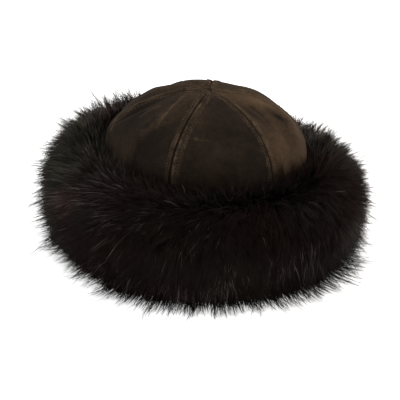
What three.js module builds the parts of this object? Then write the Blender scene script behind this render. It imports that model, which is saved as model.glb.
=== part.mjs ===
// A suede toque with a deep fur cuff.
//
// Six suede gores are sewn edge to edge into a soft dome. Beside each seam the suede is double, because
// the seam allowance is turned back and topstitched there. A cuff of long fur is turned up round the
// crown and hides its wall, and the hat rests on the cuff.
//
// Millimetres, +Z up. The origin is on the surface that the hat rests on, on the crown's axis. The front
// gore faces -Y, and azimuths are measured from there towards +X.

import * as THREE from "three";

// The crown. Radii are to the outside of the suede, away from folds and seams.
const GORES = ["front", "front_right", "back_right", "back", "back_left", "front_left"];
const RIM_LEVEL = 2;
const RIM_RADIUS = 93;
const DOME_LEVEL = 93;
const DOME_RADIUS = 94;
const CROWN_HEIGHT = 152;
const SUEDE = 1.8;
const SEAM_GAP = 0.4;
const POINT_RADIUS = 1.5; // the gores' points stop this far from the axis
const DOME_RISE = CROWN_HEIGHT - DOME_LEVEL;
const DOME_LENGTH = (Math.PI / 2) * Math.sqrt((DOME_RADIUS ** 2 + DOME_RISE ** 2) / 2); // up its outline

// How the sewn suede stands out from the plain dome
const SEAM_RIDGE = { height: 0.9, width: 6, fade: 2.5, mostOfGore: 0.4, mostWithFade: 0.6 };
const PUFF = 1.3; // each gore bulges this much between its seams
const SHOWN_FROM = 84; // below this level the fur presses the crown to its plain shape
const SHOWN_FADE = 11;

// Soft folds, each a long low ridge or hollow. Along goes from 0 where the dome begins to 1 at its point,
// across from -1 at the gore's left seam to 1 at its right one, and turn is from the gore's middle line.
const FOLDS = [
  { gore: "front", along: 0.1, across: 0.1, turn: 84, length: 34, width: 13, rise: -1.6 },
  { gore: "front", along: 0.6, across: 0.25, turn: 22, length: 26, width: 12, rise: -1.2 },
  { gore: "front_right", along: 0.5, across: -0.3, turn: -14, length: 32, width: 11, rise: -2.4 },
  { gore: "front_right", along: 0.42, across: 0.42, turn: 16, length: 24, width: 12, rise: 2 },
  { gore: "back_right", along: 0.28, across: 0.1, turn: 72, length: 32, width: 13, rise: -2 },
  { gore: "back_right", along: 0.6, across: -0.25, turn: -18, length: 22, width: 11, rise: 1.6 },
  { gore: "back", along: 0.38, across: -0.4, turn: -20, length: 30, width: 12, rise: -2.1 },
  { gore: "back", along: 0.5, across: 0.4, turn: 18, length: 24, width: 11, rise: 1.7 },
  { gore: "back_left", along: 0.28, across: 0.25, turn: 62, length: 30, width: 12, rise: -2.2 },
  { gore: "back_left", along: 0.62, across: -0.2, turn: 12, length: 24, width: 11, rise: 1.5 },
  { gore: "front_left", along: 0.52, across: 0.28, turn: 14, length: 32, width: 9, rise: 2.2 },
  { gore: "front_left", along: 0.3, across: 0.5, turn: 6, length: 22, width: 11, rise: -1.8 },
  { gore: "front_left", along: 0.4, across: -0.4, turn: -38, length: 28, width: 12, rise: -1.7 },
];

// The cuff. Out is measured from its bore and up from the floor, to the foot of the locks.
const CUFF_GAP = 0.5;
const PILE_SECTION = [
  { at: "beside the crown", out: 4, up: 85 },
  { at: "inner shoulder", out: 13, up: 91 },
  { at: "crest", out: 31, up: 89 },
  { at: "outer shoulder", out: 45, up: 71 },
  { at: "widest", out: 51, up: 45 },
  { at: "lower bulge", out: 48, up: 19 },
  { at: "floor edge", out: 41, up: 0 },
];
const INNER_EDGE_LEVEL = 80;

// The cuff isn't even all round. Each swell is a wave round it, at its most where it is turned to, in how
// far the fur stands out, how high it stands, and how far its foot spreads over the floor.
const SWELLS = [
  { waves: 1, turn: -115, out: 2, up: 6, foot: 0 },
  { waves: 1, turn: -45, out: 0, up: 0, foot: 6 },
  { waves: 2, turn: 50, out: 0.8, up: 2.8, foot: 1.5 },
  { waves: 3, turn: 30, out: 0.8, up: 0.8, foot: 1 },
  { waves: 7, turn: 5, out: 0.7, up: 0.8, foot: 0.5 },
];
const FOOT_SHARE = 0.4; // of the cuff's height, which the foot's spread reaches up to

// The fur's locks: one on each cell of a lattice round the cuff.
const LOCKS_AROUND = 54;
const LOCK_ROWS = 10;
const LOCK_LIFT = 10; // how far a lock's tip stands off the pile
const LOCK_SWEEP = 15; // how far it leans down the cuff
const LOCK_SWAY = 4.5; // how far it may lean sideways
const LOCK_WAIST = { narrower: 0.4, lift: 0.6, lean: 0.3 }; // half way up, as shares of foot, lift and lean
const LOCK_UNEVEN = 0.25; // how much locks differ in length
const LATTICE_UNEVEN = 0.22; // how far the lattice strays, as a share of a cell
const LOWEST_TIP = 1;

const radians = THREE.MathUtils.degToRad;
const GORE_ANGLE = radians(360 / GORES.length);

const suede = new THREE.MeshStandardMaterial({ color: 0x3b2d23, roughness: 0.92, metalness: 0 });
const fur = new THREE.MeshStandardMaterial({ color: 0x181311, roughness: 0.7, metalness: 0 });

// A closed surface that is put together from points and faces.
class Shell {
  places = [];
  corners = [];

  point(place) {
    this.places.push(place.x, place.y, place.z);
    return this.places.length / 3 - 1;
  }

  triangle(a, b, c) {
    this.corners.push(a, b, c);
  }

  quad(a, b, c, d) {
    this.triangle(a, b, c);
    this.triangle(a, c, d);
  }

  geometry() {
    const made = new THREE.BufferGeometry();
    made.setAttribute("position", new THREE.Float32BufferAttribute(this.places, 3));
    made.setIndex(this.corners);
    made.computeVertexNormals();
    return made;
  }
}

// A point at a distance from the axis, at an azimuth from the front and at a level.
function around(radius, azimuth, level) {
  return new THREE.Vector3(radius * Math.sin(azimuth), -radius * Math.cos(azimuth), level);
}

// The crown's outline from rim to point, as places with their outward directions. Along is below 0 on
// the wall and from 0 to 1 on the dome.
function crownOutline() {
  const domeSteps = 12;
  const lastTurn = Math.acos(POINT_RADIUS / DOME_RADIUS);
  const rows = [RIM_LEVEL, (RIM_LEVEL + SHOWN_FROM) / 2, SHOWN_FROM].map((level) => ({
    along: level / DOME_LEVEL - 1,
    radius: THREE.MathUtils.mapLinear(level, RIM_LEVEL, DOME_LEVEL, RIM_RADIUS, DOME_RADIUS),
    level,
    facing: new THREE.Vector2(1, 0),
  }));
  for (let i = 0; i <= domeSteps; i++) {
    const turn = (lastTurn * i) / domeSteps;
    rows.push({
      along: i / domeSteps,
      radius: DOME_RADIUS * Math.cos(turn),
      level: DOME_LEVEL + DOME_RISE * Math.sin(turn),
      facing: new THREE.Vector2(DOME_RISE * Math.cos(turn), DOME_RADIUS * Math.sin(turn)).normalize(),
    });
  }
  return rows;
}

// Where a gore's columns lie: their distances from its middle line, from the left seam to the right one.
// Near the point the raised bands narrow with the gore.
function goreColumns(halfWidth) {
  const ridge = Math.min(SEAM_RIDGE.width, halfWidth * SEAM_RIDGE.mostOfGore);
  const foot = Math.min(SEAM_RIDGE.width + SEAM_RIDGE.fade, halfWidth * SEAM_RIDGE.mostWithFade);
  const flat = halfWidth - foot;
  const right = [flat / 3, (flat * 2) / 3, flat, halfWidth - ridge, halfWidth];
  return [...right.map((x) => -x).reverse(), 0, ...right];
}

// How far a fold lifts the suede at a place on its gore, given in millimetres up and across the gore.
function foldRise(fold, upGore, acrossGore) {
  const turn = radians(fold.turn);
  const lengthwise = upGore * Math.cos(turn) + acrossGore * Math.sin(turn);
  const sideways = acrossGore * Math.cos(turn) - upGore * Math.sin(turn);
  return fold.rise * Math.exp(-((lengthwise / fold.length) ** 2) - (sideways / fold.width) ** 2);
}

// How far the outside of the suede stands out from the plain dome.
function suedeRelief(folds, row, distance, halfWidth) {
  const fromSeam = halfWidth - Math.abs(distance);
  const ridgeFoot = SEAM_RIDGE.width + SEAM_RIDGE.fade;
  const ridge = 1 - THREE.MathUtils.smoothstep(fromSeam, SEAM_RIDGE.width, ridgeFoot);
  const puff = Math.sqrt(Math.max(0, 1 - (distance / halfWidth) ** 2) * Math.max(0, 1 - row.along ** 2));
  let folded = 0;
  for (const fold of folds) {
    folded += foldRise(fold, (row.along - fold.along) * DOME_LENGTH, distance - fold.across * halfWidth);
  }
  const edgeFade = THREE.MathUtils.smoothstep(fromSeam, 0, SEAM_RIDGE.width);
  const pointFade = 1 - THREE.MathUtils.smoothstep(row.along, 0.9, 1);
  const shown = THREE.MathUtils.smoothstep(row.level, SHOWN_FROM, SHOWN_FROM + SHOWN_FADE);
  return shown * (SEAM_RIDGE.height * ridge + PUFF * puff + edgeFade * pointFade * folded);
}

// One gore of suede, with its middle line at azimuth 0.
function goreGeometry(name) {
  const shell = new Shell();
  const folds = FOLDS.filter((fold) => fold.gore === name);
  const outside = [];
  const inside = [];
  for (const row of crownOutline()) {
    const halfAngle = GORE_ANGLE / 2 - Math.asin(SEAM_GAP / 2 / row.radius);
    const halfWidth = halfAngle * row.radius;
    const place = (distance, lift) =>
      shell.point(
        around(row.radius + lift * row.facing.x, distance / row.radius, row.level + lift * row.facing.y),
      );
    const columns = goreColumns(halfWidth);
    outside.push(columns.map((distance) => place(distance, suedeRelief(folds, row, distance, halfWidth))));
    inside.push(columns.map((distance) => place(distance, -SUEDE)));
  }
  const rows = outside.length - 1;
  const columns = outside[0].length - 1;
  for (let i = 0; i < rows; i++) {
    for (let j = 0; j < columns; j++) {
      shell.quad(outside[i][j], outside[i][j + 1], outside[i + 1][j + 1], outside[i + 1][j]);
      shell.quad(inside[i][j], inside[i + 1][j], inside[i + 1][j + 1], inside[i][j + 1]);
    }
    shell.quad(inside[i][0], outside[i][0], outside[i + 1][0], inside[i + 1][0]);
    shell.quad(outside[i][columns], inside[i][columns], inside[i + 1][columns], outside[i + 1][columns]);
  }
  for (let j = 0; j < columns; j++) {
    shell.quad(inside[0][j], inside[0][j + 1], outside[0][j + 1], outside[0][j]);
    shell.quad(outside[rows][j], outside[rows][j + 1], inside[rows][j + 1], inside[rows][j]);
  }
  return shell.geometry();
}

// A number from -1 to 1 that looks random and is the same for the same three numbers.
function scatter(i, j, k) {
  const wild = Math.sin(i * 12.9898 + j * 78.233 + k * 37.719) * 43758.5453;
  return 2 * (wild - Math.floor(wild)) - 1;
}

// The crown's wall where the cuff lies against it
const CUFF_BORE = DOME_RADIUS + CUFF_GAP;

// How much a swell's column adds up to at an azimuth.
function swellAt(azimuth, column) {
  const wave = (swell) => swell[column] * Math.cos(swell.waves * (azimuth - radians(swell.turn)));
  return SWELLS.reduce((sum, swell) => sum + wave(swell), 0);
}

const pileCurve = new THREE.SplineCurve(PILE_SECTION.map((row) => new THREE.Vector2(row.out, row.up)));
const CREST_LEVEL = Math.max(...PILE_SECTION.map((row) => row.up));

// The foot of the fur at an azimuth, with share from 0 beside the crown to 1 at the floor, and the way
// out of the pile and the way down it.
function pileAt(azimuth, share) {
  const spot = pileCurve.getPointAt(share);
  const down = pileCurve.getTangentAt(share);
  const height = spot.y / CREST_LEVEL;
  const nearFloor = 1 - THREE.MathUtils.smoothstep(height, 0, FOOT_SHARE);
  const out = Math.sqrt(share) * (swellAt(azimuth, "out") + nearFloor * swellAt(azimuth, "foot"));
  return {
    place: around(CUFF_BORE + spot.x + out, azimuth, spot.y + height * swellAt(azimuth, "up")),
    outward: around(-down.y, azimuth, down.x),
    downward: around(down.x, azimuth, down.y),
    sideways: new THREE.Vector3(Math.cos(azimuth), Math.sin(azimuth), 0),
  };
}

// The fur cuff: locks on a lattice over the pile, a bore that lies against the crown, and a flat foot.
function cuffGeometry() {
  const shell = new Shell();
  const cell = (2 * Math.PI) / LOCKS_AROUND;
  const lattice = [];
  for (let j = 0; j <= LOCK_ROWS; j++) {
    const onEdge = j === 0 || j === LOCK_ROWS;
    const stray = onEdge ? 0 : LATTICE_UNEVEN;
    lattice.push(
      Array.from({ length: LOCKS_AROUND }, (_, i) => {
        const azimuth = (i + 0.5 * (j % 2) + stray * scatter(i, j, 1)) * cell;
        const share = (j + stray * scatter(i, j, 2)) / LOCK_ROWS;
        return { place: pileAt(azimuth, share).place };
      }),
    );
  }
  for (const corner of lattice.flat()) corner.index = shell.point(corner.place);

  for (let j = 0; j < LOCK_ROWS; j++) {
    for (let i = 0; i < LOCKS_AROUND; i++) {
      const next = (i + 1) % LOCKS_AROUND;
      addLock(shell, [lattice[j][i], lattice[j + 1][i], lattice[j + 1][next], lattice[j][next]], i, j);
    }
  }

  const boreRing = (level) =>
    Array.from({ length: LOCKS_AROUND }, (_, i) => shell.point(around(CUFF_BORE, i * cell, level)));
  const rings = [
    lattice[0].map((corner) => corner.index),
    boreRing(INNER_EDGE_LEVEL),
    boreRing(INNER_EDGE_LEVEL / 2),
    boreRing(0),
    lattice[LOCK_ROWS].map((corner) => corner.index),
  ];
  for (let k = 0; k < rings.length - 1; k++) {
    for (let i = 0; i < LOCKS_AROUND; i++) {
      const next = (i + 1) % LOCKS_AROUND;
      shell.quad(rings[k][i], rings[k][next], rings[k + 1][next], rings[k + 1][i]);
    }
  }
  return shell.geometry();
}

// One lock of fur on a cell of the lattice: it narrows, bends down the cuff and comes to a point.
function addLock(shell, corners, i, j) {
  const middle = new THREE.Vector3();
  for (const corner of corners) middle.addScaledVector(corner.place, 1 / corners.length);
  const azimuth = Math.atan2(middle.x, -middle.y);
  const { outward, downward, sideways } = pileAt(azimuth, (j + 0.5) / LOCK_ROWS);
  const length = 1 + LOCK_UNEVEN * scatter(i, j, 3);
  const lift = outward.multiplyScalar(LOCK_LIFT * length);
  const lean = downward
    .multiplyScalar(LOCK_SWEEP * length)
    .addScaledVector(sideways, LOCK_SWAY * scatter(i, j, 4));
  const tip = middle.clone().add(lift).add(lean);
  tip.z = Math.max(tip.z, LOWEST_TIP);

  const waist = corners.map((corner) => {
    const place = corner.place.clone().lerp(middle, LOCK_WAIST.narrower);
    place.addScaledVector(lift, LOCK_WAIST.lift).addScaledVector(lean, LOCK_WAIST.lean);
    place.z = Math.max(place.z, LOWEST_TIP / 2);
    return shell.point(place);
  });
  const point = shell.point(tip);
  corners.forEach((corner, k) => {
    const after = (k + 1) % corners.length;
    shell.quad(corner.index, corners[after].index, waist[after], waist[k]);
    shell.triangle(waist[k], waist[after], point);
  });
}

const crown = new THREE.Group();
GORES.forEach((name, i) => {
  const gore = new THREE.Mesh(goreGeometry(name), suede.clone());
  gore.name = `crown_gore_${name}`;
  gore.rotation.z = i * GORE_ANGLE;
  crown.add(gore);
});

const cuff = new THREE.Mesh(cuffGeometry(), fur);
cuff.name = "fur_cuff";

const hat = new THREE.Group();
hat.add(crown, cuff);

export default hat;
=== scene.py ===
# A suede toque with a deep cuff of long fur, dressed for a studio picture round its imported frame.
#
# Shapes are worked out in millimetres and put into meshes in metres. Azimuths are measured from the
# front of the hat towards its right side in the picture.

import math
from collections import namedtuple

import bmesh
import bpy
import numpy as np
from mathutils import Matrix, Vector, noise


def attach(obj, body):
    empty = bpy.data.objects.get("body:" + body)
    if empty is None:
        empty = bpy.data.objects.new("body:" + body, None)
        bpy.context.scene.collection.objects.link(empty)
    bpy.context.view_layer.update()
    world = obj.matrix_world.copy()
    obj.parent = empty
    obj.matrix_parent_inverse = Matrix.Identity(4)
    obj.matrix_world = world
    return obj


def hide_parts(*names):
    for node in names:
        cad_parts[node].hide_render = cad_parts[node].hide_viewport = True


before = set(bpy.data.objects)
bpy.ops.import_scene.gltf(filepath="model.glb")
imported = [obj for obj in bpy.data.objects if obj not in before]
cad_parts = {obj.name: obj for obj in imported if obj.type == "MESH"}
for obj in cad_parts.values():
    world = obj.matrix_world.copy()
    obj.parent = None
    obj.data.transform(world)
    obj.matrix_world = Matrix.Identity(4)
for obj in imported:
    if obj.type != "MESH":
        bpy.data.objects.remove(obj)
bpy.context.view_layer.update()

bl_info = {
    "name": "Fur-cuffed suede toque",
    "version": (1, 0, 0),
    "blender": (4, 5, 0),
    "location": "3D View > Sidebar > Toque",
    "description": "Dresses a toque hat: sewn suede gores, topstitching and a deep fur cuff",
    "category": "Object",
}

MM = 0.001
BODY = "root"


def table(name, fields, *rows):
    """Rows of values that are read by name."""
    row = namedtuple(name, fields)
    return tuple(row(*values) for values in rows)


# The crown, in millimetres: its outline from the rim up a straight wall and over an elliptical dome
RIM_LEVEL, RIM_RADIUS = 2.0, 93.0
DOME_LEVEL, DOME_RADIUS, DOME_RISE = 93.0, 94.0, 59.0
DOME_LENGTH = math.pi / 2 * math.sqrt((DOME_RADIUS**2 + DOME_RISE**2) / 2)
POINT_RADIUS = 0.12
GORE_ANGLE = math.pi / 3
# The suede's relief fades in over these levels, where it comes out of the fur.
SHOWN_FROM, SHOWN_FADE = 84.0, 11.0
# How finely a gore is divided: across it, up its wall and up its dome
ACROSS_STEPS, WALL_STEPS, DOME_STEPS = 60, 8, 84

# Each gore with the widths of the double bands at its left and right seams. Nap is how light the suede
# looks: partly its own nap, which lies another way on each gore, and partly painted light, most of it on
# the right front gore.
GORES = table(
    "Gore",
    "name turn left_band right_band nap",
    ("front", 0, 8.0, 5.5, 0.0),
    ("front_right", 60, 4.2, 5.5, 0.63),
    ("back_right", 120, 5.5, 6.0, 0.4),
    ("back", 180, 6.0, 5.5, 0.15),
    ("back_left", 240, 5.5, 5.0, 0.05),
    ("front_left", 300, 5.0, 4.6, -0.05),
)

# Soft folds. Along is 0 where the dome begins and 1 at its point, across is -1 at a gore's left seam and
# 1 at its right one, and turn is in degrees from the gore's middle line.
FOLDS = table(
    "Fold",
    "gore along across turn length width rise",
    ("front", 0.1, 0.1, 84, 34, 13, -1.6),
    ("front", 0.6, 0.25, 22, 26, 12, -1.2),
    ("front_right", 0.5, -0.3, -14, 32, 11, -2.4),
    ("front_right", 0.42, 0.42, 16, 24, 12, 2.0),
    ("back_right", 0.28, 0.1, 72, 32, 13, -2.0),
    ("back_right", 0.6, -0.25, -18, 22, 11, 1.6),
    ("back", 0.38, -0.4, -20, 30, 12, -2.1),
    ("back", 0.5, 0.4, 18, 24, 11, 1.7),
    ("back_left", 0.28, 0.25, 62, 30, 12, -2.2),
    ("back_left", 0.62, -0.2, 12, 24, 11, 1.5),
    ("front_left", 0.52, 0.28, 14, 32, 9, 2.2),
    ("front_left", 0.3, 0.5, 6, 22, 11, -1.8),
    ("front_left", 0.4, -0.4, -38, 28, 12, -1.7),
    ("back", 0.82, 0.4, 0, 20, 14, 1.8),
    ("back_left", 0.8, 0.1, 0, 22, 14, 2.2),
    ("front_left", 0.84, -0.4, 0, 18, 12, 1.2),
)

# Where the soft crown bulges out of its plain dome, whatever the seams: round which azimuth, how far up
# the dome, how wide round the hat in degrees, how high along it, and how far out.
BULGES = table(
    "Bulge",
    "azimuth along width height out",
    (-98, 0.22, 42, 0.4, 4.6),
    (-36, 0.2, 22, 0.24, 2.4),
    (-170, 0.84, 50, 0.2, 2.4),
    (145, 0.86, 30, 0.14, 2.2),
)

# How far the seams wander round the hat as they climb, in degrees, at the dome's foot and at its point.
WANDERS = table(
    "Wander",
    "azimuth foot point",
    (-180, 0, 12),
    (-150, 0, 6),
    (-90, -2, -6),
    (-30, 0, 0),
    (30, 0, 1),
    (90, -3, 12),
    (150, 0, 18),
    (180, 0, 12),
)

# Sharp creases, each a narrow ridge or hollow through (along, across) places on its gore. Wear is how
# much lighter a ridge is rubbed, and below 0 how much painted shade darkens a hollow.
CREASES = table(
    "Crease",
    "gore places width rise wear",
    ("front_left", ((0.47, 0.36), (0.61, 0.3), (0.74, 0.08), (0.86, -0.3)), 1.1, 0.8, 0.5),
    ("front_left", ((0.45, -0.38), (0.54, -0.34), (0.64, -0.25)), 2.0, 0.7, 0.35),
    ("front_left", ((0.32, -0.88), (0.5, -0.74), (0.68, -0.6)), 3.6, -1.5, -0.25),
    ("front_left", ((0.4, 0.1), (0.52, 0.12)), 2.6, -0.5, -0.15),
    ("front_right", ((0.72, -0.3), (0.62, -0.37), (0.53, -0.42)), 2.2, -1.5, -0.45),
    ("front_right", ((0.62, 0.1), (0.5, 0.15), (0.42, 0.15)), 3.4, -1.1, -0.3),
    ("front_right", ((0.66, 0.6), (0.56, 0.66), (0.46, 0.6)), 2.0, -0.9, -0.3),
    ("front", ((0.425, -0.6), (0.44, -0.62)), 1.0, 0.4, 0.45),
    ("front", ((0.435, -0.66), (0.425, -0.25)), 1.2, 0.3, 0.15),
    ("back_right", ((0.25, -0.3), (0.45, 0.1), (0.6, 0.2)), 2.6, 0.8, 0.3),
    ("back_left", ((0.3, 0.4), (0.5, 0.05), (0.62, -0.3)), 2.4, 0.8, 0.3),
    ("back", ((0.2, 0.35), (0.42, 0.2), (0.56, -0.1)), 2.6, -0.8, -0.2),
)

# Patches where the nap is brushed another way, and painted light and shade of folds and creases, most of
# them on the right front gore: lighter ones above 0, darker ones below it.
PATCHES = table(
    "Patch",
    "gore along across turn length width nap",
    ("front", 0.12, 0.0, 84, 30, 10, 0.06),
    ("front", 0.35, 0.7, 15, 22, 9, -0.12),
    ("front", 0.62, -0.68, -12, 15, 5, 0.3),
    ("front_left", 0.14, 0.0, 80, 26, 12, 0.2),
    ("front_left", 0.22, 0.4, 0, 20, 10, -0.15),
    ("front_left", 0.82, 0.3, 0, 12, 8, 0.25),
    ("front_right", 0.65, 0.35, -12, 15, 8, 1.15),
    ("front_right", 0.38, -0.3, 10, 18, 8, 0.35),
    ("front_right", 0.44, 0.75, 12, 20, 6, 0.95),
    ("front_right", 0.62, -0.6, -8, 16, 5, -0.65),
    ("front_right", 0.5, 0.15, -20, 9, 4, -0.8),
    ("front_right", 0.52, 0.6, 30, 6, 4, -0.6),
    ("front_right", 0.15, 0.3, 80, 30, 9, 0.15),
    ("back_right", 0.5, 0.1, 30, 20, 10, 0.4),
    ("back", 0.35, -0.3, -20, 20, 12, 0.35),
    ("back_left", 0.4, -0.4, 30, 20, 10, 0.35),
)

# The foot of the pile: out from the cuff's bore and up from the floor.
CUFF_BORE = 94.5
PILE_SECTION = ((4, 85), (13, 91), (31, 89), (45, 71), (51, 45), (48, 19), (41, 0))
CREST_LEVEL = 91.0

# Waves round the cuff, in millimetres, in how far the fur stands out, how high it stands and how far
# its foot spreads. Turn is where a wave's crest is, in degrees.
SWELLS = table(
    "Swell",
    "waves turn out up foot",
    (0, 0, 0, 0, -3.5),
    (1, -115, 0, 5, 0),
    (1, -30, 0, 0, 3),
    (2, 50, 0.8, 2.8, 0),
    (2, -20, 0, 0, 5),
    (3, 30, 0.8, 0.8, 1),
    (7, 5, 0.7, 0.8, 0.5),
)
# The share of the fur's height up to which its foot spreads
FOOT_SHARE = 0.4

# The coat round the cuff, beside the crown, on its crest and at its foot. Comb is in degrees from straight
# down the pile towards the right, and stir how far tufts stray from it. Light is the share of light strands
# on the crest and sides, painted sheen, and glint their share in a band of painted highlights whose height
# on the pile is band. Tone is how light the other strands are, mostly painted light and shade of each part
# of the coat, tint is above 0 for redder ones and below it for greener ones, partly painted light that
# shines through the fur, and lay is how far the fur lies over. Shag is how long the fur is on the crest,
# and fringe and wisp how long guard hairs and stray hairs are at the foot, as shares. Crest and foot are
# how far the fur spreads there, in millimetres.
COATS = table(
    "Coat",
    "azimuth comb_crest comb_foot stir light glint band tone_crown tone_crest tone_foot tint"
    " lay_crest lay_foot shag fringe wisp crest foot",
    (-180, 12, 0, 14, 0.08, 0.06, 0.7, 0.06, 0.07, 0.05, 0.0, 1.0, 1.0, 1.1, 0.95, 0.9, 0, 0),
    (-150, -8, 5, 16, 0.18, 0.06, 0.7, 0.08, 0.14, 0.05, 0.1, 1.0, 1.0, 1.25, 0.9, 0.9, 5, 0),
    (-130, -4, 5, 16, 0.24, 0.06, 0.7, 0.08, 0.16, 0.06, -0.1, 1.0, 1.0, 1.2, 0.9, 0.9, 9, 0),
    (-110, 2, 5, 14, 0.23, 0.05, 0.7, 0.06, 0.14, 0.1, -0.3, 1.0, 1.0, 1.05, 0.8, 0.9, 5, 0),
    (-90, -5, 3, 12, 0.23, 0.05, 0.7, 0.06, 0.1, 0.115, -0.4, 1.0, 1.0, 1.0, 0.75, 0.95, 1, 0),
    (-75, -18, -5, 12, 0.26, 0.04, 0.7, 0.05, 0.08, 0.07, -0.2, 1.1, 1.1, 1.0, 0.75, 0.95, 5, -1),
    (-55, -50, -15, 14, 0.15, 0.05, 0.78, 0.04, 0.035, 0.012, 0.0, 1.3, 1.5, 1.0, 0.8, 1.0, 6, -5),
    (-35, -60, -12, 18, 0.06, 0.32, 0.84, 0.03, 0.022, 0.018, 0.05, 1.7, 2.2, 1.0, 0.85, 1.15, 7, 8),
    (-16, -38, -3, 22, 0.02, 0.36, 0.84, 0.03, 0.022, 0.022, 0.05, 2.0, 3.0, 1.0, 0.8, 1.2, 6, 3),
    (4, -16, -2, 22, 0.01, 0.28, 0.76, 0.06, 0.02, 0.02, 0.0, 2.2, 3.2, 1.0, 0.75, 1.2, 6, 0),
    (20, -10, -10, 22, 0.01, 0.22, 0.65, 0.06, 0.008, 0.012, 0.0, 2.2, 3.2, 1.0, 0.75, 1.2, 6, -2),
    (40, -6, -22, 22, 0.01, 0.14, 0.58, 0.05, 0.003, 0.004, 0.05, 2.2, 3.2, 1.0, 0.75, 1.4, 4, -1),
    (60, 6, -24, 24, 0.01, 0.07, 0.54, 0.02, 0.0, 0.03, 0.2, 1.8, 2.6, 1.0, 0.7, 1.45, 2, -2),
    (74, 10, -10, 30, 0.01, 0.04, 0.6, 0.02, 0.004, 0.14, 0.4, 1.2, 1.4, 1.0, 0.8, 1.3, 4, 3),
    (84, 12, 0, 34, 0.05, 0.03, 0.6, 0.04, 0.04, 0.18, 0.1, 1.0, 1.1, 1.1, 0.85, 1.15, 6, 4),
    (100, 15, 5, 34, 0.12, 0.03, 0.6, 0.14, 0.08, 0.07, -0.2, 1.0, 1.0, 1.2, 0.95, 1.0, 2, 1),
    (122, 10, 0, 30, 0.12, 0.03, 0.6, 0.16, 0.08, 0.04, -0.1, 1.0, 1.0, 1.15, 0.95, 1.0, -4, 1),
    (145, 5, -5, 18, 0.08, 0.05, 0.7, 0.06, 0.06, 0.04, 0.0, 1.0, 1.0, 1.1, 0.95, 0.95, -2, 0),
    (180, 12, 0, 14, 0.08, 0.06, 0.7, 0.06, 0.07, 0.05, 0.0, 1.0, 1.0, 1.1, 0.95, 0.9, 0, 0),
)

# Places in the fur that are lighter or darker, redder (+) or greener (-) than the coat round them, most of
# them painted light and shade: darker on the front of the crest and beside the crown, lighter and tinted
# on the sides. The azimuth and the share of the section at the middle, and how far each reaches.
FUR_PLACES = table(
    "FurPlace",
    "azimuth share width height tone tint",
    (110, 0.12, 20, 0.12, 0.2, -0.3),
    (82, 0.2, 14, 0.1, 0.16, -0.3),
    (61, 0.37, 7, 0.08, 0.03, 1.3),
    (57, 0.56, 7, 0.1, 0.25, -0.8),
    (47, 0.27, 13, 0.15, -0.36, 0.0),
    (30, 0.3, 14, 0.14, -0.24, 0.0),
    (20, 0.1, 40, 0.04, 0.1, 0.0),
    (5, 0.0, 50, 0.06, -0.16, 0.0),
    (-66, 0.43, 9, 0.09, 0.03, 0.9),
    (-80, 0.32, 10, 0.11, 0.08, -0.8),
    (-118, 0.15, 18, 0.14, 0.2, -0.3),
)

# How the fur stands from beside the crown to the floor: the angles from upright at root and tip, in
# degrees, and the length as a share of the full one.
STANDS = table(
    "Stand",
    "share root tip length",
    (0.0, 8, 20, 1.15),
    (0.1, 12, 32, 0.9),
    (0.25, 14, 44, 1.0),
    (0.5, 10, 34, 1.0),
    (0.75, 5, 24, 1.0),
    (0.9, 3, 14, 1.0),
    (1.0, 2, 8, 1.0),
)

# Strands are held back smoothly beyond this distance from the axis, and end before both together.
FUR_REACH, FUR_GIVE = 162.0, 13.0
# The pile's mean distance from the axis, by which tufts are counted and measured
PILE_RADIUS = 128.0

# What a fibre's colour is multiplied by when its warmth is 0, and when it is 1. At PLAIN_WARMTH it keeps
# its own colour.
GREENER, REDDER, PLAIN = (0.97, 1.08, 0.84, 1.0), (1.6, 1.15, 1.0, 1.0), (1.0, 1.0, 1.0, 1.0)
PLAIN_WARMTH = 0.35
# The lowest tone, the deepest painted shade, and what it leaves of a fibre's colour
DARKEST_TONE, DARKEST_SHARE = -0.5, 0.4


def linear(hex_colour):
    """A linear RGBA colour from an sRGB hex value."""
    channels = ((hex_colour >> shift & 255) / 255 for shift in (16, 8, 0))
    return (*(c / 12.92 if c <= 0.04045 else ((c + 0.055) / 1.055) ** 2.4 for c in channels), 1.0)


def smoothstep(x, low, high):
    """0 below low, 1 above high, and a smooth rise between."""
    t = np.clip((np.asarray(x, float) - low) / (high - low), 0, 1)
    return t * t * (3 - 2 * t)


def bell(*offsets):
    """1 at no offset, and fading off as a bell's outline does, for offsets as shares of their widths."""
    return np.exp(-sum(offset**2 for offset in offsets))


def blend(first, second, share):
    """The first value at a share of 0, and the second at 1."""
    return first * (1 - share) + second * share


def half_turn(angle):
    """An angle in radians, brought within half a turn either way."""
    return (angle + math.pi) % (2 * math.pi) - math.pi


def unit(vectors):
    """Vectors brought to length 1."""
    return vectors / np.linalg.norm(vectors, axis=-1, keepdims=True)


def square_to(run, vectors):
    """The directions at right angles to run that lie nearest to vectors."""
    return unit(vectors - run * np.sum(vectors * run, axis=-1, keepdims=True))


def read(rows, name, at):
    """A column of a table between its rows, at values of its first column."""
    return np.interp(at, [row[0] for row in rows], [getattr(row, name) for row in rows])


def roughness_at(places, size, seed):
    """Smooth noise from -1 to 1 at places in millimetres, with bumps of about the given size."""
    scaled = np.asarray(places, float) / size + seed * 7.31
    return np.array([noise.noise(Vector(place)) for place in scaled.reshape(-1, 3)])


def around(radius, azimuth, level):
    """Places at distances from the hat's axis, at azimuths from the front, at levels."""
    radius, azimuth, level = np.broadcast_arrays(radius, azimuth, level)
    return np.stack([radius * np.sin(azimuth), -radius * np.cos(azimuth), level], axis=-1)


def polar(places):
    """The distances of places from the hat's axis, and their azimuths."""
    return np.hypot(places[..., 0], places[..., 1]), np.arctan2(places[..., 0], -places[..., 1])


# Nodes and materials


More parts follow.
